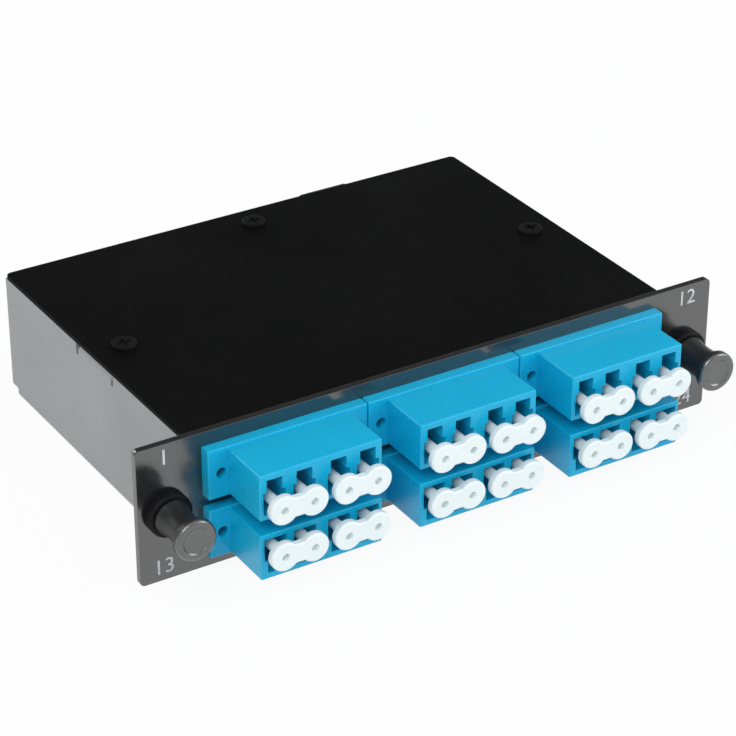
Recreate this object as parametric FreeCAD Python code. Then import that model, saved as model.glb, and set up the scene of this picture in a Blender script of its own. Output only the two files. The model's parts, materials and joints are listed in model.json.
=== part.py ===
import FreeCAD, Part
import math
import os

# Fibre cassette, sizes in millimetres.
# Origin: middle of the front panel's rear face. +X right, +Y into the depth, +Z up.

V = FreeCAD.Vector
X_AXIS = V(1, 0, 0)
Y_AXIS = V(0, 1, 0)
Z_AXIS = V(0, 0, 1)
SAME_PLACE = 1e-6

# Ports of a quad adapter
port_w = 4.7
port_pitch = 6.25
duplex_gap = 7.25
port_floor = 1.05
side_wall = 0.775
latch_w = 3.3
latch_h = 2.6
latch_len = 9.0
roof_t = 1.25
septum_t = 2.0

# Adapter body and flange
housing_front = 14.2
housing_rear = 11.3
housing_edge_r = 0.35
flange_t = 2.4
flange_rim = 0.4
flange_ear = 4.1
flange_gap = 0.2
flange_edge_r = 0.3
flange_hole_r = 1.1
flange_hole_inset = 2.8
row_gap = 2.3
columns = 3

# Sleeve holder, split sleeve and ferrule
ferrule_r = 0.625
ferrule_clear = 0.02
sleeve_t = 0.155
sleeve_len = 6.8
sleeve_slit = 0.3
sleeve_clear = 0.03
holder_t = 0.62
holder_len = 7.6

# Plugs behind the adapters
plug_clear = 0.1
plug_inset = 4.5
plug_tail = 4.0
plug_cup_depth = 4.2
plug_cup_clear = 0.2
plug_lever_w = 2.6
plug_lever_t = 0.7
plug_lever_rise = 1.4
boot_len = 9.5
boot_root_r = 1.9
boot_tip_r = 1.0

# Dust caps
cap_head_r = 2.95
cap_head_t = 1.4
cap_edge_r = 0.35
cap_web_h = 4.0
cap_neck_r = 1.1
cap_neck_len = 2.4
cap_plug_inset = 6.4
cap_plug_len = 5.0
cap_plug_clear = 0.15
cap_grip_clear = 0.1
cap_bore_depth = 3.0
cap_dimple_r = 0.8
cap_dimple_depth = 1.0

# Spring saddles
clip_t = 0.4
clip_len = 7.0
clip_lip = 0.9
clip_clear = 0.05

# Front panel
panel_t = 1.5
panel_margin = 2.95
panel_corner_r = 1.0
cutout_clear = 0.1
latch_offset = 4.95
ear_end = 6.0

# Latches
barrel_r = 3.2
barrel_len = 5.5
barrel_tip_len = 1.0
barrel_tip_drop = 0.5
shoulder_r = 3.7
latch_hole_clear = 0.05
collar_r = 4.5
collar_t = 2.0
collar_edge_r = 0.6
slit_w = 0.8
pin_r = 1.6
pin_clear = 0.075
knob_gap = 0.2
knob_root_r = 3.7
knob_waist_r = 2.8
knob_waist_at = 3.4
knob_neck_len = 7.3
knob_neck_r = 3.6
knob_under = 0.4
knob_head_r = 4.2
knob_head_len = 2.2
knob_edge_r = 0.7
knob_dish_r = 2.9
knob_dish_depth = 0.35

# Chassis and cover sheets
sheet_t = 1.2
bend_r = 0.6
seam_gap = 0.35
relief = 0.7
side_margin = 2.45
weld_flange_clear = 0.45
weld_flange_inset = 4.0
tab_len = 14.0
tab_w = 11.0
tab_slit = 0.8
cover_t = 1.0
cover_drop = 1.0
cover_gap = 0.2
cover_corner_r = 1.2
cover_edge_r = 0.25

# Cover screws
screw_inset = 6.6
screw_r = 1.2
screw_head_r = 2.5
screw_head_h = 0.9
screw_head_edge_r = 0.35
screw_tail = 2.0
screw_clear = 0.1
recess_w = 0.7
recess_len = 2.8
recess_depth = 0.55

# Rear socket
mpo_x = 29.0
mpo_w = 12.6
mpo_h = 10.6
mpo_port_w = 10.2
mpo_port_h = 7.6
mpo_key_w = 3.0
mpo_key_h = 0.8
mpo_in = 8.0
mpo_out = 9.6
mpo_flange_t = 2.0
mpo_flange_w = 25.0
mpo_flange_h = 11.4
mpo_edge_r = 0.4
mpo_clear = 0.15
mpo_screw_at = 9.4
mpo_screw_r = 1.0
mpo_screw_head_r = 1.9
mpo_screw_head_h = 1.2
mpo_screw_tail = 1.5
mpo_screw_recess_len = 2.2

# Rear cap
rear_cap_w = 13.2
rear_cap_h = 11.8
rear_cap_len = 4.6
rear_cap_corner_r = 1.4
rear_cap_edge_r = 0.55
rear_cap_seat_gap = 0.1
rear_cap_wall = 1.0
rear_cap_plug_len = 6.0
rear_cap_bore_depth = 3.6
rib_count = 4
rib_pitch = 1.0
rib_w = 0.45
rib_depth = 0.3

# Multi-fibre plug, fan-out and fibres
mpo_plug_seat = 7.0
mpo_plug_tail = 8.0
mpo_plug_collar = 1.2
mpo_plug_collar_at = 1.5
mpo_plug_collar_len = 5.0
mt_w = 6.4
mt_h = 2.5
mt_len = 4.0
fan_len = 8.0
fan_wall = 0.9
fibre_r = 0.45
fibre_pitch = 1.0
fibre_bend_r = 6.0
fibre_lead = 2.0
fibre_slack = 3.5

# Places that follow from the sizes
duplex_x = (duplex_gap / 2, duplex_gap / 2 + port_pitch)
port_x = (-duplex_x[1], -duplex_x[0], duplex_x[0], duplex_x[1])
housing_w = 2 * (duplex_x[1] + port_w / 2 + side_wall)
housing_low = -port_w / 2 - port_floor
housing_high = port_w / 2 + latch_h + roof_t
flange_w = housing_w + 2 * flange_ear
flange_low = housing_low - flange_rim
flange_high = housing_high + flange_rim
flange_h = flange_high - flange_low
adapter_pitch = flange_w + flange_gap
adapter_x = [adapter_pitch * (i - (columns - 1) / 2) for i in range(columns)]
row_z = row_gap / 2 - flange_low
y_front = -panel_t - housing_front
y_rear = housing_rear
y_mid = (y_front + y_rear) / 2
port_depth = y_mid - y_front - septum_t / 2

panel_h = row_gap + 2 * flange_h + 2 * panel_margin
z_bottom = -panel_h / 2
body_w = columns * adapter_pitch + 2 * side_margin
latch_x = body_w / 2 + latch_offset
panel_w = 2 * (latch_x + ear_end)
cover_top = panel_h / 2 - cover_drop
wall_top = cover_top - cover_t
outer_bend_r = bend_r + sheet_t
bend_reach = outer_bend_r + relief
wall_x = body_w / 2 - sheet_t
floor_z = z_bottom + sheet_t
weld_edge = adapter_x[-1] + housing_w / 2 + clip_clear + clip_t + clip_lip + weld_flange_clear

plug_half = port_w / 2 - plug_clear
plug_front = y_mid + plug_inset
plug_back = y_rear + plug_tail
boot_end = plug_back + boot_len
sleeve_r = ferrule_r + ferrule_clear + sleeve_t
holder_bore_r = sleeve_r + sleeve_clear
holder_r = holder_bore_r + holder_t

ports_per_row = [x + u for x in adapter_x for u in port_x]
fan_x = [mpo_x + fibre_pitch * (i - (len(ports_per_row) - 1) / 2) for i in range(len(ports_per_row))]
lanes_left = sum(1 for port, out in zip(ports_per_row, fan_x) if port < out)
lane_start = boot_end + fibre_lead + fibre_bend_r
lanes = max(lanes_left, len(fan_x) - lanes_left)
lane_end = lane_start + fibre_pitch * (lanes - 1)
fan_front = lane_end + fibre_bend_r + fibre_slack
fan_back = fan_front + fan_len
mpo_inner_end = fan_back + mpo_plug_tail
wall_inside = mpo_inner_end + mpo_in
body_d = wall_inside + sheet_t
mpo_outer_end = body_d + mpo_out
mpo_screw_x = (mpo_x - mpo_screw_at, mpo_x + mpo_screw_at)
screw_y = body_d / 2 - panel_t
screw_x = body_w / 2 - screw_inset
cover_screw_at = [(-screw_x, screw_y), (screw_x, screw_y), (0, body_d - screw_inset)]


def block(x0, x1, y0, y1, z0, z1):
    return Part.makeBox(x1 - x0, y1 - y0, z1 - z0, V(x0, y0, z0))


def rod(r, x, z, y0, y1):
    return Part.makeCylinder(r, y1 - y0, V(x, y0, z), Y_AXIS)


def post(r, x, y, z0, z1):
    return Part.makeCylinder(r, z1 - z0, V(x, y, z0), Z_AXIS)


def prism(points, sweep):
    return Part.Face(Part.makePolygon(points + points[:1])).extrude(sweep)


def near(a, b):
    return abs(a - b) < SAME_PLACE


def runs_along(edge, axis):
    step = edge.Vertexes[-1].Point - edge.Vertexes[0].Point
    return step.Length > 0 and abs(step.dot(axis)) > 0.999 * step.Length


def eased(solid, radius, chosen):
    return solid.makeFillet(radius, [e for e in solid.Edges if chosen(e)])


def eased_corner(solid, radius, axis, corner):
    # Round the one edge that runs along axis through corner
    def is_it(edge):
        offset = edge.CenterOfMass - corner
        return runs_along(edge, axis) and (offset - axis * offset.dot(axis)).Length < SAME_PLACE
    return eased(solid, radius, is_it)


def seated(shape, x, row):
    # The lower row is turned over, so its latches point down
    placed = shape if row > 0 else shape.rotated(V(0, 0, 0), Y_AXIS, 180)
    return placed.translated(V(x, 0, row * row_z))


def write(name, shapes):
    shape = shapes[0] if len(shapes) == 1 else Part.makeCompound(shapes)
    shape.exportStep("parts/" + name + ".step")


# Quad adapter and what sits in it, with the port axes at z = 0
def port_cut(u, mouth, inward):
    # One port from its mouth inward: +1 for a front port, -1 for a rear one
    half_w = port_w / 2
    ends = sorted((mouth, mouth + inward * port_depth))
    latch_ends = sorted((mouth, mouth + inward * latch_len))
    cavity = block(u - half_w, u + half_w, *ends, -half_w, half_w)
    latch = block(u - latch_w / 2, u + latch_w / 2, *latch_ends, 0, half_w + latch_h)
    return cavity.fuse(latch)


def quad_adapter():
    half = housing_w / 2
    flange_front = -panel_t - flange_t
    housing = block(-half, half, y_front, y_rear, housing_low, housing_high)
    housing = housing.makeFillet(housing_edge_r, housing.Edges)
    flange = block(-flange_w / 2, flange_w / 2, flange_front, -panel_t, flange_low, flange_high)
    flange = eased(flange, flange_edge_r, lambda e: not near(e.CenterOfMass.y, -panel_t))
    middle = (flange_low + flange_high) / 2
    cuts = []
    for side in (-1, 1):
        x = side * (flange_w / 2 - flange_hole_inset)
        cuts.append(rod(flange_hole_r, x, middle, flange_front, -panel_t))
    for u in port_x:
        cuts += [port_cut(u, y_front, 1), port_cut(u, y_rear, -1)]
    body = housing.fuse(flange).cut(cuts)
    holders = [rod(holder_r, u, 0, y_mid - holder_len / 2, y_mid + holder_len / 2) for u in port_x]
    bores = [rod(holder_bore_r, u, 0, y_mid - holder_len / 2, y_mid + holder_len / 2) for u in port_x]
    return body.fuse(holders).cut(bores).removeSplitter()


def spring_saddle():
    inner = housing_w / 2 + clip_clear
    outer = inner + clip_t
    top = housing_high + clip_clear
    saddle = block(-outer, outer, 0, clip_len, housing_low, top + clip_t)
    saddle = saddle.cut(block(-inner, inner, 0, clip_len, housing_low, top))
    lips = []
    for side in (-1, 1):
        ends = sorted((side * outer, side * (outer + clip_lip)))
        lips.append(block(*ends, 0, clip_t, housing_low, housing_high))
    return saddle.fuse(lips).removeSplitter()


def split_sleeve(u):
    ends = (y_mid - sleeve_len / 2, y_mid + sleeve_len / 2)
    tube = rod(sleeve_r, u, 0, *ends)
    bore = rod(sleeve_r - sleeve_t, u, 0, *ends)
    slit = block(u - sleeve_slit / 2, u + sleeve_slit / 2, *ends, 0, sleeve_r)
    return tube.cut([bore, slit])


def rear_plug(u):
    body = block(u - plug_half, u + plug_half, plug_front, plug_back, -plug_half, plug_half)
    cup_end = plug_front + plug_cup_depth
    cup = rod(holder_r + plug_cup_clear, u, 0, plug_front, cup_end)
    ferrule = rod(ferrule_r, u, 0, y_mid, cup_end)
    boot = Part.makeCone(boot_root_r, boot_tip_r, boot_len, V(u, plug_back, 0), Y_AXIS)
    foot = plug_half - plug_lever_t / 2
    tip = plug_half + plug_lever_rise
    outline = [(plug_front, foot), (plug_back, tip),
               (plug_back, tip + plug_lever_t), (plug_front, foot + plug_lever_t)]
    lever = prism([V(u - plug_lever_w / 2, y, z) for y, z in outline], X_AXIS * plug_lever_w)
    return body.cut(cup).fuse([ferrule, boot, lever]).removeSplitter()


def dust_cap():
    # Two round heads joined by a web, each on a neck and a plug, the middle of the pair at x = 0
    neck = y_front - cap_neck_len
    nose = neck - cap_head_t
    plug_start = y_front + cap_plug_inset
    plug_end = plug_start + cap_plug_len
    half = port_pitch / 2
    heads = [rod(cap_head_r, u, 0, nose, neck) for u in (-half, half)]
    web = block(-half, half, nose, neck, -cap_web_h / 2, cap_web_h / 2)
    head = heads[0].fuse([heads[1], web]).removeSplitter()
    head = eased(head, cap_edge_r, lambda e: near(e.CenterOfMass.y, nose))
    stems = []
    cuts = []
    for u in (-half, half):
        stems.append(rod(cap_neck_r, u, 0, neck, plug_start))
        stems.append(rod(port_w / 2 - cap_plug_clear, u, 0, plug_start, plug_end))
        cuts.append(rod(holder_r + cap_grip_clear, u, 0, plug_end - cap_bore_depth, plug_end))
        cuts.append(rod(cap_dimple_r, u, 0, nose, nose + cap_dimple_depth))
    return head.fuse(stems).cut(cuts).removeSplitter()


def front_panel():
    plate = block(-panel_w / 2, panel_w / 2, -panel_t, 0, z_bottom, -z_bottom)
    plate = eased(plate, panel_corner_r, lambda e: runs_along(e, Y_AXIS))
    half = housing_w / 2 + cutout_clear
    low = row_z + housing_low - cutout_clear
    high = row_z + housing_high + cutout_clear
    cuts = []
    for x in adapter_x:
        cuts.append(block(x - half, x + half, -panel_t, 0, low, high))
        cuts.append(block(x - half, x + half, -panel_t, 0, -high, -low))
    for x in (-latch_x, latch_x):
        cuts.append(rod(shoulder_r + latch_hole_clear, x, 0, -panel_t, 0))
    return plate.cut(cuts)


# Folded tray: each bend is an angle strip let into the trough where the wall is notched for it
def angle_strip(outer, inner, axis, corner, inner_corner):
    return eased_corner(outer, outer_bend_r, axis, corner).cut(
        eased_corner(inner, bend_r, axis, inner_corner))


def trough():
    outer = block(-body_w / 2, body_w / 2, 0, body_d, z_bottom, wall_top)
    inner = block(-wall_x, wall_x, 0, body_d, floor_z, wall_top)
    for side in (-1, 1):
        outer = eased_corner(outer, outer_bend_r, Y_AXIS, V(side * body_w / 2, 0, z_bottom))
        inner = eased_corner(inner, bend_r, Y_AXIS, V(side * wall_x, 0, floor_z))
    return outer.cut(inner)


def rear_wall():
    half = wall_x - seam_gap
    start = body_d - bend_reach
    outer = block(-half, half, start, body_d, z_bottom, wall_top)
    inner = block(-half, half, start, wall_inside, floor_z, wall_top)
    wall = angle_strip(outer, inner, X_AXIS, V(0, body_d, z_bottom), V(0, wall_inside, floor_z))
    foot = body_w / 2 - bend_reach
    corners = [block(-half, -foot, start, body_d, z_bottom, z_bottom + bend_reach),
               block(foot, half, start, body_d, z_bottom, z_bottom + bend_reach)]
    return wall.cut(corners)


def weld_flange(side):
    outer_x = side * body_w / 2
    inner_x = side * wall_x
    edge_x = side * weld_edge
    low = z_bottom + weld_flange_inset
    high = wall_top - weld_flange_inset
    outer = block(*sorted((edge_x, outer_x)), 0, bend_reach, low, high)
    inner = block(*sorted((edge_x, inner_x)), sheet_t, bend_reach, low, high)
    strip = angle_strip(outer, inner, Z_AXIS, V(outer_x, 0, 0), V(inner_x, sheet_t, 0))
    notch = block(*sorted((inner_x, outer_x)), 0, bend_reach, low - tab_slit, high + tab_slit)
    return strip, notch


def side_tab(side):
    outer_x = side * body_w / 2
    inner_x = side * wall_x
    edge_x = outer_x - side * tab_w
    low = wall_top - bend_reach
    start = screw_y - tab_len / 2
    end = screw_y + tab_len / 2
    outer = block(*sorted((edge_x, outer_x)), start, end, low, wall_top)
    inner = block(*sorted((edge_x, inner_x)), start, end, low, wall_top - sheet_t)
    strip = angle_strip(outer, inner, Y_AXIS,
                        V(outer_x, 0, wall_top), V(inner_x, 0, wall_top - sheet_t))
    notch = block(*sorted((inner_x, outer_x)), start - tab_slit, end + tab_slit, low, wall_top)
    return strip, notch


def rear_tab():
    low = wall_top - bend_reach
    half = tab_len / 2
    outer = block(-half, half, body_d - tab_w, body_d, low, wall_top)
    inner = block(-half, half, body_d - tab_w, wall_inside, low, wall_top - sheet_t)
    strip = angle_strip(outer, inner, X_AXIS,
                        V(0, body_d, wall_top), V(0, wall_inside, wall_top - sheet_t))
    notch = block(-half - tab_slit, half + tab_slit, wall_inside, body_d, low, wall_top)
    return strip, notch


def chassis():
    floor_end = block(-body_w / 2, body_w / 2, body_d - bend_reach, body_d,
                      z_bottom, z_bottom + bend_reach)
    folds = [weld_flange(-1), weld_flange(1), side_tab(-1), side_tab(1), rear_tab()]
    tray = trough().cut(floor_end).fuse(rear_wall())
    tray = tray.cut([notch for strip, notch in folds])
    tray = tray.fuse([strip for strip, notch in folds])
    cuts = [post(screw_r + screw_clear, x, y, wall_top - sheet_t, wall_top) for x, y in cover_screw_at]
    half_w = mpo_w / 2 + mpo_clear
    half_h = mpo_h / 2 + mpo_clear
    cuts.append(block(mpo_x - half_w, mpo_x + half_w, wall_inside, body_d, -half_h, half_h))
    cuts += [rod(mpo_screw_r + screw_clear, x, 0, wall_inside, body_d) for x in mpo_screw_x]
    return tray.cut(cuts).removeSplitter()


def top_cover():
    sheet = block(-body_w / 2, body_w / 2, cover_gap, body_d, wall_top, cover_top)
    at_rear = lambda e: runs_along(e, Z_AXIS) and near(e.CenterOfMass.y, body_d)
    sheet = eased(sheet, cover_corner_r, at_rear)
    sheet = eased(sheet, cover_edge_r, lambda e: near(e.CenterOfMass.z, cover_top))
    holes = [post(screw_r + screw_clear, x, y, wall_top, cover_top) for x, y in cover_screw_at]
    return sheet.cut(holes)


def cover_screw(x, y):
    top = cover_top + screw_head_h
    head = post(screw_head_r, x, y, cover_top, top)
    head = eased(head, screw_head_edge_r, lambda e: near(e.CenterOfMass.z, top))
    shank = post(screw_r, x, y, wall_top - sheet_t - screw_tail, cover_top)
    half_w = recess_w / 2
    half_l = recess_len / 2
    cross = [block(x - half_w, x + half_w, y - half_l, y + half_l, top - recess_depth, top),
             block(x - half_l, x + half_l, y - half_w, y + half_w, top - recess_depth, top)]
    return head.fuse(shank).cut(cross)


# Push-pull latch
def latch_grommet(x):
    front = -panel_t - collar_t
    end = barrel_len + barrel_tip_len
    collar = rod(collar_r, x, 0, front, -panel_t)
    collar = eased(collar, collar_edge_r, lambda e: near(e.CenterOfMass.y, front))
    shoulder = rod(shoulder_r, x, 0, -panel_t, 0)
    barrel = rod(barrel_r, x, 0, 0, barrel_len)
    tip = Part.makeCone(barrel_r, barrel_r - barrel_tip_drop, barrel_tip_len, V(x, barrel_len, 0), Y_AXIS)
    half = slit_w / 2
    cuts = [rod(pin_r + pin_clear, x, 0, front, end),
            block(x - half, x + half, 0, end, -barrel_r, barrel_r),
            block(x - barrel_r, x + barrel_r, 0, end, -half, half)]
    return collar.fuse([shoulder, barrel, tip]).cut(cuts).removeSplitter()


def latch_plunger(x):
    root = -panel_t - collar_t - knob_gap
    neck = root - knob_neck_len
    front = neck - knob_head_len
    corner = knob_edge_r * (1 - math.sqrt(0.5))
    at = lambda r, y: V(x + r, y, 0)
    line = lambda a, b: Part.LineSegment(a, b).toShape()
    arc = lambda a, b, c: Part.Arc(a, b, c).toShape()
    flare = [at(knob_root_r, root), at(knob_waist_r, root - knob_waist_at), at(knob_neck_r, neck)]
    rim = [at(knob_head_r, front + knob_edge_r), at(knob_head_r - corner, front + corner),
           at(knob_head_r - knob_edge_r, front)]
    dish = [at(knob_dish_r, front), at(knob_dish_r - knob_dish_depth, front + knob_dish_depth),
            at(0, front + knob_dish_depth)]
    under = at(knob_head_r, neck - knob_under)
    edges = [line(at(0, root), flare[0]), arc(*flare), line(flare[2], under), line(under, rim[0]),
             arc(*rim), line(rim[2], dish[0]), line(dish[0], dish[1]), line(dish[1], dish[2]),
             line(dish[2], at(0, root))]
    knob = Part.Face(Part.Wire(edges)).revolve(V(x, 0, 0), Y_AXIS, 360)
    pin = rod(pin_r, x, 0, root, barrel_len)
    return knob.fuse(pin).removeSplitter()


# Rear socket and its cap
def mpo_block(half_w, half_h, y0, y1):
    return block(mpo_x - half_w, mpo_x + half_w, y0, y1, -half_h, half_h)


def mpo_adapter():
    housing = mpo_block(mpo_w / 2, mpo_h / 2, mpo_inner_end, mpo_outer_end)
    housing = housing.makeFillet(mpo_edge_r, housing.Edges)
    flange = mpo_block(mpo_flange_w / 2, mpo_flange_h / 2, body_d, body_d + mpo_flange_t)
    flange = eased(flange, mpo_edge_r, lambda e: not near(e.CenterOfMass.y, body_d))
    key_low = mpo_port_h / 2
    cuts = [mpo_block(mpo_port_w / 2, mpo_port_h / 2, mpo_inner_end, mpo_outer_end),
            block(mpo_x - mpo_key_w / 2, mpo_x + mpo_key_w / 2, mpo_inner_end, mpo_outer_end,
                  key_low, key_low + mpo_key_h)]
    cuts += [rod(mpo_screw_r + screw_clear, x, 0, body_d, body_d + mpo_flange_t) for x in mpo_screw_x]
    return housing.fuse(flange).cut(cuts).removeSplitter()


def mpo_screw(x):
    seat = body_d + mpo_flange_t
    top = seat + mpo_screw_head_h
    head = rod(mpo_screw_head_r, x, 0, seat, top)
    head = eased(head, screw_head_edge_r, lambda e: near(e.CenterOfMass.y, top))
    shank = rod(mpo_screw_r, x, 0, wall_inside - mpo_screw_tail, seat)
    half = recess_w / 2
    reach = mpo_screw_recess_len / 2
    cross = [block(x - half, x + half, top - recess_depth, top, -reach, reach),
             block(x - reach, x + reach, top - recess_depth, top, -half, half)]
    return head.fuse(shank).cut(cross)


def mpo_dust_cap():
    seat = mpo_outer_end + rear_cap_seat_gap
    end = seat + rear_cap_len
    plug_w = mpo_port_w / 2 - cap_plug_clear
    plug_h = mpo_port_h / 2 - cap_plug_clear
    plug_start = mpo_outer_end - rear_cap_plug_len
    head = mpo_block(rear_cap_w / 2, rear_cap_h / 2, seat, end)
    head = eased(head, rear_cap_corner_r, lambda e: runs_along(e, Y_AXIS))
    head = eased(head, rear_cap_edge_r, lambda e: near(e.CenterOfMass.y, end))
    plug = mpo_block(plug_w, plug_h, plug_start, seat)
    bore_end = plug_start + rear_cap_bore_depth
    cuts = [mpo_block(plug_w - rear_cap_wall, plug_h - rear_cap_wall, plug_start, bore_end)]
    middle = (seat + end) / 2
    for i in range(rib_count):
        y = middle + rib_pitch * (i - (rib_count - 1) / 2)
        for side in (-1, 1):
            face = mpo_x + side * rear_cap_w / 2
            grip = rear_cap_h / 2 - rear_cap_corner_r
            cuts.append(block(face - rib_depth, face + rib_depth,
                              y - rib_w / 2, y + rib_w / 2, -grip, grip))
    return head.fuse(plug).cut(cuts).removeSplitter()


# Multi-fibre plug, fan-out and fibres inside
def mpo_plug():
    half_w = mpo_port_w / 2 - plug_clear
    half_h = mpo_port_h / 2 - plug_clear
    seat_end = mpo_inner_end + mpo_plug_seat
    collar_start = fan_back + mpo_plug_collar_at
    body = mpo_block(half_w, half_h, fan_back, seat_end)
    collar = mpo_block(half_w + mpo_plug_collar, half_h + mpo_plug_collar,
                       collar_start, collar_start + mpo_plug_collar_len)
    ferrule = mpo_block(mt_w / 2, mt_h / 2, seat_end, seat_end + mt_len)
    return body.fuse([collar, ferrule]).removeSplitter()


def outline_at(half_w, half_h, y):
    corners = [(-half_w, -half_h), (half_w, -half_h), (half_w, half_h), (-half_w, half_h)]
    points = [V(mpo_x + x, y, z) for x, z in corners]
    return Part.makePolygon(points + points[:1])


def fan_out():
    spread = fibre_pitch * (len(fan_x) - 1) / 2
    front = outline_at(spread + fibre_r + fan_wall, row_z + fibre_r + fan_wall, fan_front)
    back = outline_at(mpo_port_w / 2, mpo_port_h / 2, fan_back)
    return Part.makeLoft([front, back], True, True)


def lane_y(i):
    # Fibres that run furthest along X take the lane nearest the fan-out
    lane = lanes_left - 1 - i if i < lanes_left else i - lanes_left
    return lane_start + fibre_pitch * lane


def fibre(port, out, y, z):
    side = 1 if out > port else -1
    offset = abs(out - port)
    turn = math.acos(max(1 - offset / (2 * fibre_bend_r), 0))
    rise = fibre_bend_r * math.sin(turn)
    step = lambda angle: side * fibre_bend_r * (1 - math.cos(angle))
    lift = lambda angle: fibre_bend_r * math.sin(angle)
    at = lambda px, py: V(px, py, z)
    middle = turn / 2
    first = [at(port, y - rise), at(port + step(middle), y - rise + lift(middle)), at(port + step(turn), y)]
    last = [at(out - step(turn), y), at(out - step(middle), y + rise - lift(middle)), at(out, y + rise)]
    start = at(port, boot_end)
    end = at(out, fan_front)
    edges = [Part.LineSegment(start, first[0]), Part.Arc(*first)]
    if offset > 2 * fibre_bend_r:
        edges.append(Part.LineSegment(first[2], last[0]))
    edges += [Part.Arc(*last), Part.LineSegment(last[2], end)]
    path = Part.Wire([e.toShape() for e in edges])
    section = Part.Wire(Part.Circle(start, Y_AXIS, fibre_r).toShape())
    return path.makePipeShell([section], True, True)


def fibre_row(z):
    return [fibre(port, out, lane_y(i), z) for i, (port, out) in enumerate(zip(ports_per_row, fan_x))]


def build():
    os.makedirs("parts", exist_ok=True)
    write("front_panel", [front_panel()])
    write("chassis", [chassis()])
    write("top_cover", [top_cover()])
    write("cover_screws", [cover_screw(x, y) for x, y in cover_screw_at])

    adapter = quad_adapter()
    saddle = spring_saddle()
    cap = dust_cap()
    plugs = Part.makeCompound([rear_plug(u) for u in port_x])
    places = [(x, row) for row in (1, -1) for x in adapter_x]
    pair_x = (duplex_x[0] + duplex_x[1]) / 2
    for number, (x, row) in enumerate(places, 1):
        write("lc_adapter_%d" % number, [seated(adapter, x, row)])
        write("adapter_clip_%d" % number, [seated(saddle, x, row)])
        write("lc_plugs_%d" % number, [seated(plugs, x, row)])
        write("dust_cap_%d" % (2 * number - 1), [seated(cap, x - pair_x, row)])
        write("dust_cap_%d" % (2 * number), [seated(cap, x + pair_x, row)])
    write("alignment_sleeves", [seated(split_sleeve(u), x, row) for x, row in places for u in port_x])

    for name, x in (("left", -latch_x), ("right", latch_x)):
        write("latch_grommet_" + name, [latch_grommet(x)])
        write("latch_plunger_" + name, [latch_plunger(x)])

    write("mpo_adapter", [mpo_adapter()])
    write("mpo_screws", [mpo_screw(x) for x in mpo_screw_x])
    write("mpo_dust_cap", [mpo_dust_cap()])
    write("mpo_plug", [mpo_plug()])
    write("fan_out", [fan_out()])
    write("fibres_upper", fibre_row(row_z))
    write("fibres_lower", fibre_row(-row_z))


build()
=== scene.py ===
import json
import math

import bmesh
import bpy
from mathutils import Matrix, Vector

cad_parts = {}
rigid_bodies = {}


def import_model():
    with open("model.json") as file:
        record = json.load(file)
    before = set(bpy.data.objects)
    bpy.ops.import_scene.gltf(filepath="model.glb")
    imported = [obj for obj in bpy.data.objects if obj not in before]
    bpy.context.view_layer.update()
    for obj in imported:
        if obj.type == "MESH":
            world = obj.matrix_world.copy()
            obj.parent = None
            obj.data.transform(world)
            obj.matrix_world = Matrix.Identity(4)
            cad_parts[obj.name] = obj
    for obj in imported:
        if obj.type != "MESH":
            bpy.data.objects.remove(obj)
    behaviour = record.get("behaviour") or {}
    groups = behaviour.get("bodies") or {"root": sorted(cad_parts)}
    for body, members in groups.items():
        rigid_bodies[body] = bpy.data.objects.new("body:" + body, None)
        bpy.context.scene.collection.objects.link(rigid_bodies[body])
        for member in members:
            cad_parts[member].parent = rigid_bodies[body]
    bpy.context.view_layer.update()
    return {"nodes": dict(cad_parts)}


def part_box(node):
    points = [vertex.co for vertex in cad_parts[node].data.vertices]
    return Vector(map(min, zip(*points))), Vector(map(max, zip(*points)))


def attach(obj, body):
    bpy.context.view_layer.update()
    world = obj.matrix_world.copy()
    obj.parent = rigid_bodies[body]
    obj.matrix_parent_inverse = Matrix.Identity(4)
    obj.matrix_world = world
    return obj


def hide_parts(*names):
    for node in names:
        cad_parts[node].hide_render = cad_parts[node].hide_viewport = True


for leftover in list(bpy.data.objects):  # default cube, lamp and camera
    bpy.data.objects.remove(leftover)

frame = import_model()
nodes = frame["nodes"]
scene = bpy.context.scene
mm = 0.001
near = 0.001 * mm  # places closer than this are the same
print("frame loaded:", len(nodes), "nodes")


def addNode(tree, kind, sockets=None, **settings):
    node = tree.nodes.new(kind)
    for key, value in settings.items():
        setattr(node, key, value)
    for key, value in (sockets or {}).items():
        node.inputs[key].default_value = value
    return node


noiseLook = {
    "roughness": 0.55, "span": (0.3, 0.7), "speckSpan": (0.62, 0.7), "bumpHeight": 0.1 * mm,
    "patchDetail": 3, "grainDetail": 2, "speckDetail": 1,
}
mixSockets = {"factor": 0, "first": 6, "second": 7, "result": 2}  # a mix node's sockets for colours


def spread(tree, source, low, high, span=noiseLook["span"]):
    stretch = addNode(tree, "ShaderNodeMapRange",
                      {"From Min": span[0], "From Max": span[1], "To Min": low, "To Max": high})
    tree.links.new(source, stretch.inputs["Value"])
    return stretch.outputs["Result"]


def cloud(tree, place, perMetre, detail):
    noise = addNode(tree, "ShaderNodeTexNoise",
                    {"Scale": perMetre, "Detail": detail, "Roughness": noiseLook["roughness"]})
    tree.links.new(place, noise.inputs["Vector"])
    return noise.outputs["Fac"]


def tinted(tree, factor, first, second):
    mix = addNode(tree, "ShaderNodeMix", data_type="RGBA")
    tree.links.new(factor, mix.inputs[mixSockets["factor"]])
    for side, colour in (("first", first), ("second", second)):
        socket = mix.inputs[mixSockets[side]]
        if isinstance(colour, bpy.types.NodeSocket):
            tree.links.new(colour, socket)
        else:
            socket.default_value = (*colour, 1)
    return mix.outputs[mixSockets["result"]]


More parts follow.
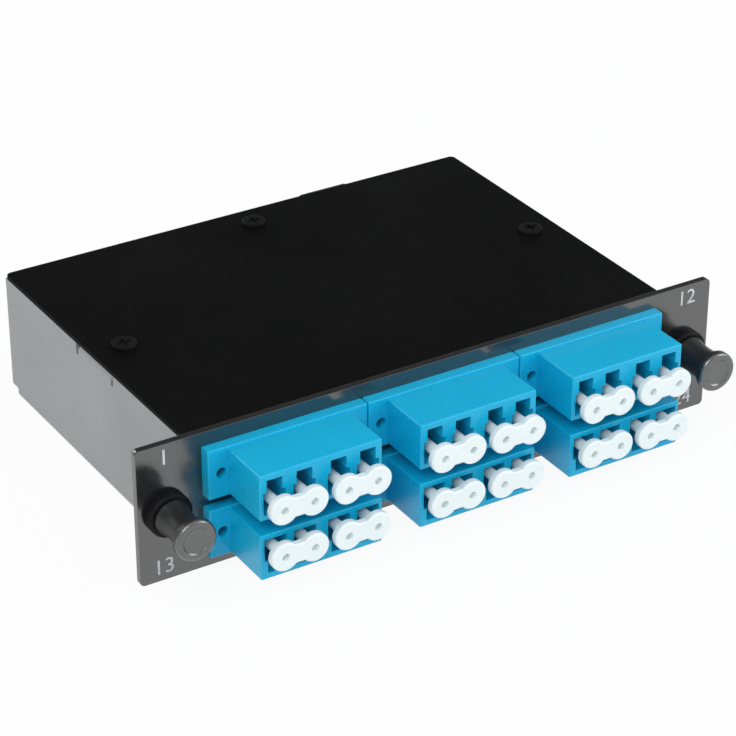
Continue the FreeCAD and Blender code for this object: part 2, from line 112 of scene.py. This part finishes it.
# Broad patches shift the colour, a fine grain moves roughness and bump, specks sit on top
def makeFinish(name, look):
    material = bpy.data.materials.new(name)
    material.use_nodes = True
    tree = material.node_tree
    shader = tree.nodes["Principled BSDF"]
    place = addNode(tree, "ShaderNodeTexCoord").outputs["Object"]
    if "stretch" in look:  # rolled or brushed along one direction
        mapping = addNode(tree, "ShaderNodeMapping", {"Scale": look["stretch"]})
        tree.links.new(place, mapping.inputs["Vector"])
        grainPlace = mapping.outputs["Vector"]
    else:
        grainPlace = place
    patches = cloud(tree, place, look["patchesPerMetre"], noiseLook["patchDetail"])
    grain = cloud(tree, grainPlace, look["grainPerMetre"], noiseLook["grainDetail"])
    colour = tinted(tree, spread(tree, patches, 0, 1), look["tone"], look["patch"])
    if "speck" in look:
        specks = cloud(tree, place, look["specksPerMetre"], noiseLook["speckDetail"])
        share = spread(tree, specks, 0, look["speckShare"], noiseLook["speckSpan"])
        colour = tinted(tree, share, colour, look["speck"])
    tree.links.new(colour, shader.inputs["Base Color"])
    tree.links.new(spread(tree, grain, *look["roughness"]), shader.inputs["Roughness"])
    bump = addNode(tree, "ShaderNodeBump", {"Strength": look["bump"], "Distance": noiseLook["bumpHeight"]})
    tree.links.new(grain, bump.inputs["Height"])
    tree.links.new(bump.outputs["Normal"], shader.inputs["Normal"])
    for socket, value in look.get("shader", {}).items():
        shader.inputs[socket].default_value = value
    return material


panelPaint = makeFinish("panelPaint", {  # black, with a strong sheen that mirrors the adapters
    "tone": (0.006, 0.006, 0.0065), "patch": (0.010, 0.010, 0.0105), "patchesPerMetre": 90,
    "grainPerMetre": 1500, "roughness": (0.13, 0.19), "bump": 0.02,
    "speck": (0.04, 0.04, 0.042), "specksPerMetre": 2600, "speckShare": 0.25,
    "shader": {"IOR": 2.2}})
chassisPaint = makeFinish("chassisPaint", {
    "tone": (0.245, 0.245, 0.248), "patch": (0.285, 0.285, 0.288), "patchesPerMetre": 45,
    "grainPerMetre": 2200, "roughness": (0.32, 0.46), "bump": 0.10,
    "speck": (0.36, 0.36, 0.36), "specksPerMetre": 3400, "speckShare": 0.35})
coverPaint = makeFinish("coverPaint", {
    "tone": (0.0042, 0.0042, 0.0044), "patch": (0.0060, 0.0060, 0.0062), "patchesPerMetre": 40,
    "grainPerMetre": 2400, "roughness": (0.36, 0.50), "bump": 0.12,
    "speck": (0.016, 0.016, 0.016), "specksPerMetre": 3800, "speckShare": 0.4,
    "shader": {"Specular IOR Level": 0.015}})
screwBlack = makeFinish("screwBlack", {
    "tone": (0.006, 0.006, 0.006), "patch": (0.009, 0.009, 0.0095), "patchesPerMetre": 300,
    "grainPerMetre": 4000, "roughness": (0.36, 0.50), "bump": 0.06,
    "shader": {"Specular IOR Level": 0.05}})
adapterPlastic = makeFinish("adapterPlastic", {
    "tone": (0.003, 0.405, 0.660), "patch": (0.003, 0.385, 0.640), "patchesPerMetre": 120,
    "grainPerMetre": 3200, "roughness": (0.24, 0.34), "bump": 0.05,
    "shader": {"Specular IOR Level": 0.40}})
capPlastic = makeFinish("capPlastic", {
    "tone": (0.755, 0.83, 0.835), "patch": (0.725, 0.80, 0.805), "patchesPerMetre": 160,
    "grainPerMetre": 2600, "roughness": (0.34, 0.46), "bump": 0.05,
    "shader": {"Subsurface Weight": 0.10, "Subsurface Radius": (0.6, 0.7, 0.8),
               "Subsurface Scale": 0.5 * mm}})
clipSteel = makeFinish("clipSteel", {
    "tone": (0.52, 0.52, 0.53), "patch": (0.60, 0.60, 0.61), "patchesPerMetre": 200,
    "grainPerMetre": 800, "stretch": (0.1, 1.0, 6.0), "roughness": (0.25, 0.40), "bump": 0.05,
    "shader": {"Metallic": 1.0}})
sleeveCeramic = makeFinish("sleeveCeramic", {
    "tone": (0.84, 0.82, 0.77), "patch": (0.88, 0.87, 0.83), "patchesPerMetre": 400,
    "grainPerMetre": 5000, "roughness": (0.14, 0.22), "bump": 0.02})
plugPlastic = makeFinish("plugPlastic", {
    "tone": (0.012, 0.38, 0.44), "patch": (0.016, 0.42, 0.47), "patchesPerMetre": 200,
    "grainPerMetre": 3000, "roughness": (0.30, 0.42), "bump": 0.05})
latchNylon = makeFinish("latchNylon", {
    "tone": (0.005, 0.005, 0.0055), "patch": (0.008, 0.008, 0.0085), "patchesPerMetre": 180,
    "grainPerMetre": 2800, "roughness": (0.40, 0.52), "bump": 0.05,
    "shader": {"Specular IOR Level": 0.10}})
knobNylon = makeFinish("knobNylon", {  # polished face of the knob
    "tone": (0.016, 0.016, 0.017), "patch": (0.021, 0.021, 0.022), "patchesPerMetre": 180,
    "grainPerMetre": 2600, "roughness": (0.22, 0.30), "bump": 0.02,
    "shader": {"IOR": 2.25}})
stemNylon = makeFinish("stemNylon", {
    "tone": (0.012, 0.012, 0.0125), "patch": (0.017, 0.017, 0.0175), "patchesPerMetre": 180,
    "grainPerMetre": 2600, "roughness": (0.34, 0.46), "bump": 0.03,
    "shader": {"Specular IOR Level": 0.45}})
socketPlastic = makeFinish("socketPlastic", {
    "tone": (0.012, 0.012, 0.013), "patch": (0.017, 0.017, 0.018), "patchesPerMetre": 160,
    "grainPerMetre": 3000, "roughness": (0.38, 0.52), "bump": 0.10})
screwZinc = makeFinish("screwZinc", {
    "tone": (0.56, 0.56, 0.58), "patch": (0.62, 0.61, 0.60), "patchesPerMetre": 500,
    "grainPerMetre": 4000, "roughness": (0.24, 0.36), "bump": 0.04,
    "shader": {"Metallic": 1.0}})
rearCapPlastic = makeFinish("rearCapPlastic", {
    "tone": (0.022, 0.022, 0.024), "patch": (0.029, 0.029, 0.031), "patchesPerMetre": 200,
    "grainPerMetre": 2400, "roughness": (0.42, 0.56), "bump": 0.10})
fanPlastic = makeFinish("fanPlastic", {
    "tone": (0.016, 0.016, 0.018), "patch": (0.024, 0.024, 0.026), "patchesPerMetre": 220,
    "grainPerMetre": 2600, "roughness": (0.45, 0.60), "bump": 0.10})
fibreBuffer = makeFinish("fibreBuffer", {
    "tone": (0.02, 0.46, 0.47), "patch": (0.03, 0.52, 0.52), "patchesPerMetre": 150,
    "grainPerMetre": 3500, "roughness": (0.36, 0.48), "bump": 0.03})
printInk = makeFinish("printInk", {
    "tone": (0.52, 0.52, 0.53), "patch": (0.62, 0.62, 0.62), "patchesPerMetre": 600,
    "grainPerMetre": 5000, "roughness": (0.45, 0.60), "bump": 0.06})
print("finishes made:", len(bpy.data.materials))

adapterCount = 6
capCount = 12
plasticEdge = 0.10  # radius of the moulded edges in mm
meshLimits = {
    "weld": 0.002 * mm, "weldText": 0.004 * mm, "edgeSegments": 2, "ringSegments": 5,
    "flat": math.radians(0.3), "sharp": math.radians(40), "smooth": math.radians(35),
}


def addPiece(name, bm, finish, body, replaced=()):
    for face in bm.faces:
        face.smooth = True
    for edge in bm.edges:
        edge.smooth = len(edge.link_faces) != 2 or edge.calc_face_angle(0) < meshLimits["smooth"]
    mesh = bpy.data.meshes.new(name)
    bm.to_mesh(mesh)
    bm.free()
    mesh.materials.append(finish)
    piece = bpy.data.objects.new(name, mesh)
    scene.collection.objects.link(piece)
    flats = piece.modifiers.new("flats", "WEIGHTED_NORMAL")
    flats.keep_sharp = True
    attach(piece, body)
    if replaced:
        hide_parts(*replaced)
    return piece


def bevelEdges(bm, edges, offset, segments):
    bmesh.ops.bevel(bm, geom=edges, offset=offset, offset_type="OFFSET", segments=segments,
                    profile=0.5, affect="EDGES", clamp_overlap=True, material=-1)


# Copies a CAD node, joins its loose triangles and breaks its sharp edges
def dressNode(node, name, finish, edge, body="cassette"):
    bm = bmesh.new()
    bm.from_mesh(nodes[node].data)
    bmesh.ops.remove_doubles(bm, verts=bm.verts, dist=meshLimits["weld"])
    bmesh.ops.dissolve_limit(bm, angle_limit=meshLimits["flat"], verts=bm.verts, edges=bm.edges)
    sharp = [e for e in bm.edges
             if len(e.link_faces) == 2 and e.calc_face_angle(0) > meshLimits["sharp"]]
    bevelEdges(bm, sharp, edge * mm, meshLimits["edgeSegments"])
    addPiece(name, bm, finish, body, [node])


dressed = {  # CAD node: piece, finish, slot, edge radius in mm
    "chassis": ("trayBody", chassisPaint, "chassis_paint", 0.12),
    "front_panel": ("facePlate", panelPaint, "panel_paint", 0.12),
    "top_cover": ("lidSheet", coverPaint, "cover_paint", 0.06),
    "cover_screws": ("lidScrews", screwBlack, "black_screw", 0.06),
    "mpo_adapter": ("rearSocket", socketPlastic, "socket_plastic", 0.10),
    "mpo_screws": ("rearSocketScrews", screwZinc, "socket_screw", 0.05),
    "latch_grommet_left": ("latchGrommetLeft", latchNylon, "latch_nylon", 0.08),
    "latch_grommet_right": ("latchGrommetRight", latchNylon, "latch_nylon", 0.08),
}
for node, (name, finish, slot, edge) in dressed.items():
    dressNode(node, name, finish, edge)
for number in range(1, adapterCount + 1):
    dressNode("lc_adapter_%d" % number, "quadAdapter%d" % number, adapterPlastic,
              plasticEdge)
print("plate, tray, lid and adapters dressed")


# Spins a (y, radius, rounding) profile about the line along Y through (x, z)
def turnedShape(bm, x, z, profile, steps):
    ring = [bm.verts.new((x + radius * mm, y * mm, z)) for y, radius, rounding in profile]
    edges = [bm.edges.new(pair) for pair in zip(ring, ring[1:])]
    bmesh.ops.spin(bm, geom=ring + edges, cent=(x, 0, z), axis=(0, 1, 0), angle=2 * math.pi,
                   steps=steps, use_merge=True)
    bmesh.ops.remove_doubles(bm, verts=bm.verts, dist=meshLimits["weld"])
    bmesh.ops.recalc_face_normals(bm, faces=bm.faces)
    for y, radius, rounding in profile:
        if rounding:
            roundRing(bm, x, z, y * mm, radius * mm, rounding * mm)


def roundRing(bm, x, z, y, radius, rounding):
    def onRing(vert):
        off = math.hypot(vert.co.x - x, vert.co.z - z)
        return abs(vert.co.y - y) < near and abs(off - radius) < near
    edges = [e for e in bm.edges if onRing(e.verts[0]) and onRing(e.verts[1])]
    bevelEdges(bm, edges, rounding, meshLimits["ringSegments"])


for number in range(1, capCount + 1):
    node = "dust_cap_%d" % number
    dressNode(node, "duplexCap%d" % number, capPlastic, plasticEdge, node + "_body")
print("dust caps dressed")

latchKnob = {  # mm, from the pin's tip to the knob's dished face
    "steps": 72, "faceFrom": -12.6,
    "profile": [(5.5, 0, 0), (5.5, 1.6, 0.4), (-3.7, 1.6, 0), (-3.7, 3.7, 0.25), (-7.1, 2.75, 2.8),
                (-11.0, 3.6, 0.2), (-11.4, 4.2, 0.2), (-13.2, 4.2, 0.7), (-13.2, 2.9, 0.15),
                (-12.85, 2.55, 0.15), (-12.85, 0, 0)],
}
for side in ("left", "right"):
    node = "latch_plunger_" + side
    low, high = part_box(node)
    bm = bmesh.new()
    turnedShape(bm, (low.x + high.x) / 2, (low.z + high.z) / 2, latchKnob["profile"], latchKnob["steps"])
    for face in bm.faces:  # the stem is duller than the face
        face.material_index = int(face.calc_center_median().y > latchKnob["faceFrom"] * mm)
    knob = addPiece("latchKnob" + side.title(), bm, knobNylon, node + "_body", [node])
    knob.data.materials.append(stemNylon)
print("latch knobs made")

# Inner pieces and the rear cap keep their CAD shape
keptFinishes = {"alignment_sleeves": sleeveCeramic, "mpo_plug": socketPlastic, "fan_out": fanPlastic,
                "fibres_upper": fibreBuffer, "fibres_lower": fibreBuffer, "mpo_dust_cap": rearCapPlastic}
for number in range(1, adapterCount + 1):
    keptFinishes["lc_plugs_%d" % number] = plugPlastic
    keptFinishes["adapter_clip_%d" % number] = clipSteel
for node, finish in keptFinishes.items():
    nodes[node].data.materials.clear()
    nodes[node].data.materials.append(finish)

portNumbers = {  # printed on the plate: thickness of the ink, words and (x, z) of their middle, in mm
    "height": 3.2, "capHeightShare": 0.7, "ink": 0.02,
    "places": {"1": (-59.2, 11.6), "12": (59.2, 11.6), "13": (-60.0, -11.6), "24": (59.6, -11.6)},
}
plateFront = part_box("front_panel")[0].y
for words, (x, z) in portNumbers["places"].items():
    curve = bpy.data.curves.new("number" + words, "FONT")
    curve.body = words
    curve.size = portNumbers["height"] / portNumbers["capHeightShare"] * mm
    curve.align_x = "CENTER"
    curve.align_y = "CENTER"
    curve.extrude = portNumbers["ink"] / 2 * mm
    typed = bpy.data.objects.new("typed" + words, curve)
    scene.collection.objects.link(typed)
    bpy.context.view_layer.update()
    flat = bpy.data.meshes.new_from_object(typed.evaluated_get(bpy.context.evaluated_depsgraph_get()))
    bpy.data.objects.remove(typed)
    bm = bmesh.new()
    bm.from_mesh(flat)
    bpy.data.meshes.remove(flat)
    bmesh.ops.remove_doubles(bm, verts=bm.verts, dist=meshLimits["weldText"])
    bmesh.ops.rotate(bm, verts=bm.verts, cent=(0, 0, 0), matrix=Matrix.Rotation(math.pi / 2, 3, "X"))
    bmesh.ops.translate(bm, verts=bm.verts, vec=(x * mm, plateFront - portNumbers["ink"] / 2 * mm, z * mm))
    addPiece("portNumber" + words, bm, printInk, "cassette")
print("port numbers printed")

studio = {  # lengths in metres
    "floorSize": 40.0, "floorColour": (0.82, 0.82, 0.82), "floorGlow": 0.93, "floorGap": 0.02 * mm,
    "worldColour": (0.96, 0.98, 1.0), "worldFront": 0.80, "worldRear": 0.10,
    "rearSpan": (-0.1, 0.7), "highSpan": (0.12, 0.35),  # the sky is dim high up behind the part
    "lamps": {  # place, aim, width, watts
        "keyLamp": ((-0.62, -0.55, 0.85), (0, -0.01, 0), 0.6, 5.0),
        "rearLamp": ((-0.50, 1.00, 0.60), (0, 0.04, 0), 0.7, 4.0),
        "fillLamp": ((0.95, -0.60, 0.55), (0, 0.02, 0), 0.8, 6.0),
    },
}
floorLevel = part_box("chassis")[0].z - studio["floorGap"]
bm = bmesh.new()
bmesh.ops.create_grid(bm, x_segments=1, y_segments=1, size=studio["floorSize"] / 2,
                      matrix=Matrix.Translation((0, 0, floorLevel)))
floorMesh = bpy.data.meshes.new("floor")
bm.to_mesh(floorMesh)
bm.free()
floor = bpy.data.objects.new("floor", floorMesh)
scene.collection.objects.link(floor)

floorPaper = bpy.data.materials.new("floorPaper")
floorPaper.use_nodes = True
tree = floorPaper.node_tree
tree.nodes.clear()
paper = addNode(tree, "ShaderNodeBsdfDiffuse", {"Color": (*studio["floorColour"], 1)})
glow = addNode(tree, "ShaderNodeEmission", {"Color": (1, 1, 1, 1), "Strength": 1})
path = addNode(tree, "ShaderNodeLightPath")
seen = path.outputs["Is Camera Ray"]
for ray in ("Is Glossy Ray", "Is Transmission Ray"):
    either = addNode(tree, "ShaderNodeMath", operation="MAXIMUM")
    tree.links.new(seen, either.inputs[0])
    tree.links.new(path.outputs[ray], either.inputs[1])
    seen = either.outputs[0]
share = addNode(tree, "ShaderNodeMath", operation="MULTIPLY")
tree.links.new(seen, share.inputs[0])
share.inputs[1].default_value = studio["floorGlow"]
blend = addNode(tree, "ShaderNodeMixShader")
tree.links.new(share.outputs[0], blend.inputs[0])
tree.links.new(paper.outputs[0], blend.inputs[1])
tree.links.new(glow.outputs[0], blend.inputs[2])
tree.links.new(blend.outputs[0], addNode(tree, "ShaderNodeOutputMaterial").inputs["Surface"])
floorMesh.materials.append(floorPaper)

world = bpy.data.worlds.new("studioWorld")
world.use_nodes = True
air = world.node_tree
sky = air.nodes["Background"]
sky.inputs["Color"].default_value = (*studio["worldColour"], 1)
heading = addNode(air, "ShaderNodeSeparateXYZ")
air.links.new(addNode(air, "ShaderNodeTexCoord").outputs["Generated"], heading.inputs["Vector"])
dimmed = addNode(air, "ShaderNodeMath", operation="MULTIPLY")
air.links.new(spread(air, heading.outputs["Y"], 0, 1, studio["rearSpan"]), dimmed.inputs[0])
air.links.new(spread(air, heading.outputs["Z"], 0, 1, studio["highSpan"]), dimmed.inputs[1])
strength = spread(air, dimmed.outputs[0], studio["worldFront"], studio["worldRear"], (0, 1))
air.links.new(strength, sky.inputs["Strength"])
scene.world = world

for name, (spot, aim, width, watts) in studio["lamps"].items():
    lamp = bpy.data.lights.new(name, "AREA")
    lamp.size = width
    lamp.energy = watts
    holder = bpy.data.objects.new(name, lamp)
    holder.location = spot
    holder.rotation_euler = (Vector(aim) - Vector(spot)).to_track_quat("-Z", "Y").to_euler()
    scene.collection.objects.link(holder)

cameraFit = {  # fitted to the photo: degrees, mm and pixels of a 736 pixel frame
    "azimuth": -31.61, "elevation": 29.29, "distance": 532.98, "focal": 2764.48,
    "across": -13.44, "upward": 11.26, "target": (0, -1.5, 0), "frame": 736, "sensor": 36.0,
    "clip": (0.01, 100),  # metres
}
turn, tilt = math.radians(cameraFit["azimuth"]), math.radians(cameraFit["elevation"])
back = Vector((math.sin(turn) * math.cos(tilt), -math.cos(turn) * math.cos(tilt), math.sin(tilt)))
right = Vector((math.cos(turn), math.sin(turn), 0))
up = back.cross(right)
spot = (Vector(cameraFit["target"]) + back * cameraFit["distance"] + right * cameraFit["across"]
        + up * cameraFit["upward"]) * mm
lens = bpy.data.cameras.new("photoCamera")
lens.sensor_width = cameraFit["sensor"]
lens.lens = cameraFit["focal"] / cameraFit["frame"] * cameraFit["sensor"]
lens.clip_start, lens.clip_end = cameraFit["clip"]
camera = bpy.data.objects.new("photoCamera", lens)
camera.matrix_world = Matrix.Translation(spot) @ Matrix((right, up, back)).transposed().to_4x4()
scene.collection.objects.link(camera)
scene.camera = camera
scene.view_settings.view_transform = "Standard"
print("studio set")
